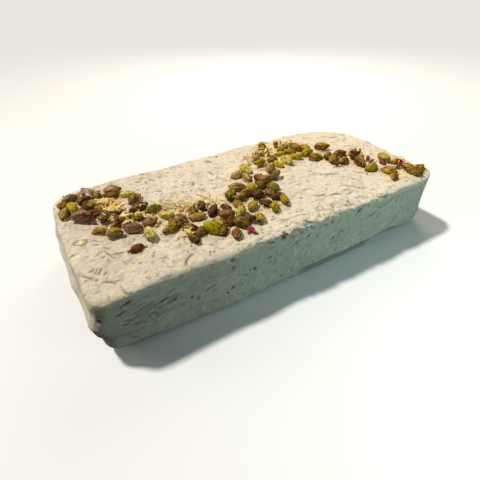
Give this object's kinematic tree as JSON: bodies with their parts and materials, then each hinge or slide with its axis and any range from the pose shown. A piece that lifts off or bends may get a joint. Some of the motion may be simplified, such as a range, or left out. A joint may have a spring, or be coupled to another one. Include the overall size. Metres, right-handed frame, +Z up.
{
  "type": "pistachio nougat slab",
  "caption": "Rectangular slab of pale whipped nougat with whole pistachio kernels pressed into its top in a winding trail",
  "frame": {"origin": "on the board under the middle of the slab", "axes": "+X along the slab, towards the end with the deeper rounded corner; +Y across it to the back; +Z up out of the top with the kernels"},
  "size_m": [0.3884, 0.1782, 0.0763],
  "materials": {
    "nougat": "matte",
    "pistachio_brown_skin": "satin",
    "pistachio_olive_skin": "satin",
    "pistachio_green": "satin",
    "rose_petal": "matte",
    "saffron_straw": "matte"
  },
  "bodies": {
    "root": {"nougat_slab": "nougat", "kernel_01": "pistachio_brown_skin", "kernel_02": "pistachio_olive_skin", "kernel_03": "pistachio_brown_skin", "kernel_04": "pistachio_olive_skin", "kernel_05": "pistachio_green", "kernel_06": "pistachio_brown_skin", "kernel_07": "pistachio_olive_skin", "kernel_08": "pistachio_brown_skin", "kernel_09": "pistachio_olive_skin", "kernel_10": "pistachio_green", "kernel_11": "pistachio_brown_skin", "kernel_12": "pistachio_olive_skin", "kernel_13": "pistachio_brown_skin", "kernel_14": "pistachio_olive_skin", "kernel_15": "pistachio_green", "kernel_16": "pistachio_brown_skin", "kernel_17": "pistachio_olive_skin", "kernel_18": "pistachio_brown_skin", "kernel_19": "pistachio_olive_skin", "kernel_20": "pistachio_green", "kernel_21": "pistachio_brown_skin", "kernel_22": "pistachio_olive_skin", "kernel_23": "pistachio_brown_skin", "kernel_24": "pistachio_olive_skin", "kernel_25": "pistachio_green", "kernel_26": "pistachio_brown_skin", "kernel_27": "pistachio_olive_skin", "kernel_28": "pistachio_brown_skin", "kernel_29": "pistachio_olive_skin", "kernel_30": "pistachio_green", "kernel_31": "pistachio_brown_skin", "kernel_32": "pistachio_olive_skin", "kernel_33": "pistachio_brown_skin", "kernel_34": "pistachio_olive_skin", "kernel_35": "pistachio_green", "kernel_36": "pistachio_brown_skin", "kernel_37": "pistachio_olive_skin", "kernel_38": "pistachio_brown_skin", "kernel_39": "pistachio_olive_skin", "kernel_40": "pistachio_green", "kernel_41": "pistachio_brown_skin", "kernel_42": "pistachio_olive_skin", "kernel_43": "pistachio_brown_skin", "kernel_44": "pistachio_olive_skin", "kernel_45": "pistachio_green", "kernel_46": "pistachio_brown_skin", "kernel_47": "pistachio_olive_skin", "kernel_48": "pistachio_brown_skin", "kernel_49": "pistachio_olive_skin", "kernel_50": "pistachio_green", "kernel_51": "pistachio_brown_skin", "kernel_52": "pistachio_olive_skin", "kernel_53": "pistachio_brown_skin", "kernel_54": "pistachio_olive_skin", "kernel_55": "pistachio_green", "kernel_56": "pistachio_brown_skin", "kernel_57": "pistachio_olive_skin", "kernel_58": "pistachio_brown_skin", "kernel_59": "pistachio_olive_skin"}
  },
  "joints": []
}
